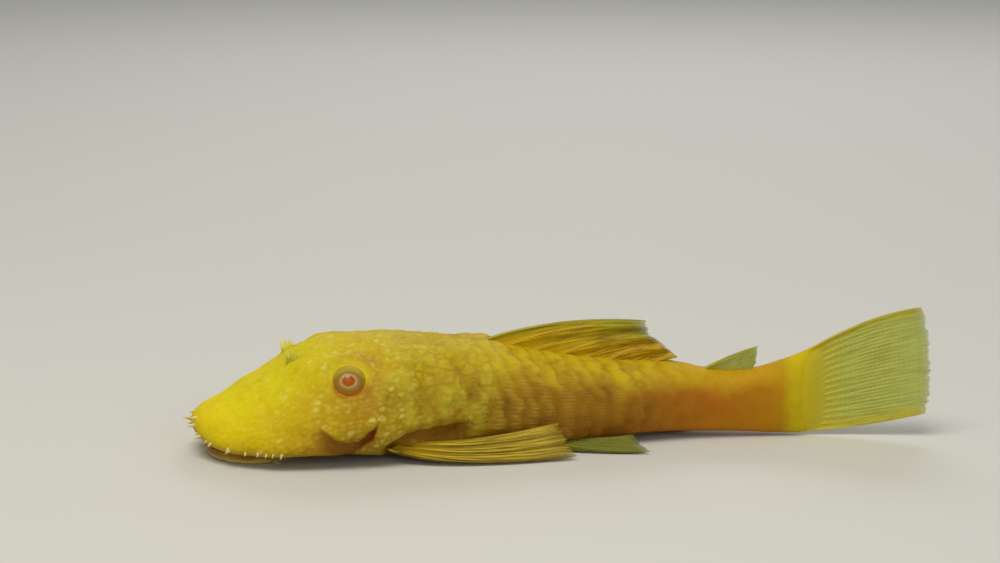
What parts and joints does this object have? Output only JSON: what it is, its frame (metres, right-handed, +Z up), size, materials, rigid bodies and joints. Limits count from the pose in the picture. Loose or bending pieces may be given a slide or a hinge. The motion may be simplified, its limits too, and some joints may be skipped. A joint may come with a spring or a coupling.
{
  "type": "bristlenose pleco",
  "caption": "Golden bristlenose pleco, a small armoured catfish lying on its belly, still, with folded fins, plated flanks and a sucker mouth.",
  "frame": {"origin": "middle of the bounding box, on the floor that the fish lies on", "axes": "+X from head to tail, +Y to the fish's right flank, +Z up"},
  "size_m": [0.121, 0.0335, 0.0219],
  "materials": {
    "head_skin": "bright lemon-gold skin with fine pale granules and cream dots, satin",
    "body_skin": "golden yellow bony plates with fine ridges, more orange on the lower flank, satin",
    "fin": "yellow fin rays with thin, slightly clear webs, satin",
    "lips": "soft ochre lips with fine papillae, satin",
    "eye": "cream-pink iris round a red-orange pupil, glossy"
  },
  "bodies": {
    "root": {"adipose_fin": "fin", "anal_fin": "fin", "dorsal_fin": "fin", "eye_left": "eye", "eye_right": "eye", "gill_cover_left": "head_skin", "gill_cover_right": "head_skin", "head": "head_skin", "mouth_disc": "lips", "pectoral_fin_left": "fin", "pectoral_fin_right": "fin", "pelvic_fin_left": "fin", "pelvic_fin_right": "fin", "tail": "body_skin", "tail_fin": "fin", "torso": "body_skin"}
  },
  "joints": []
}
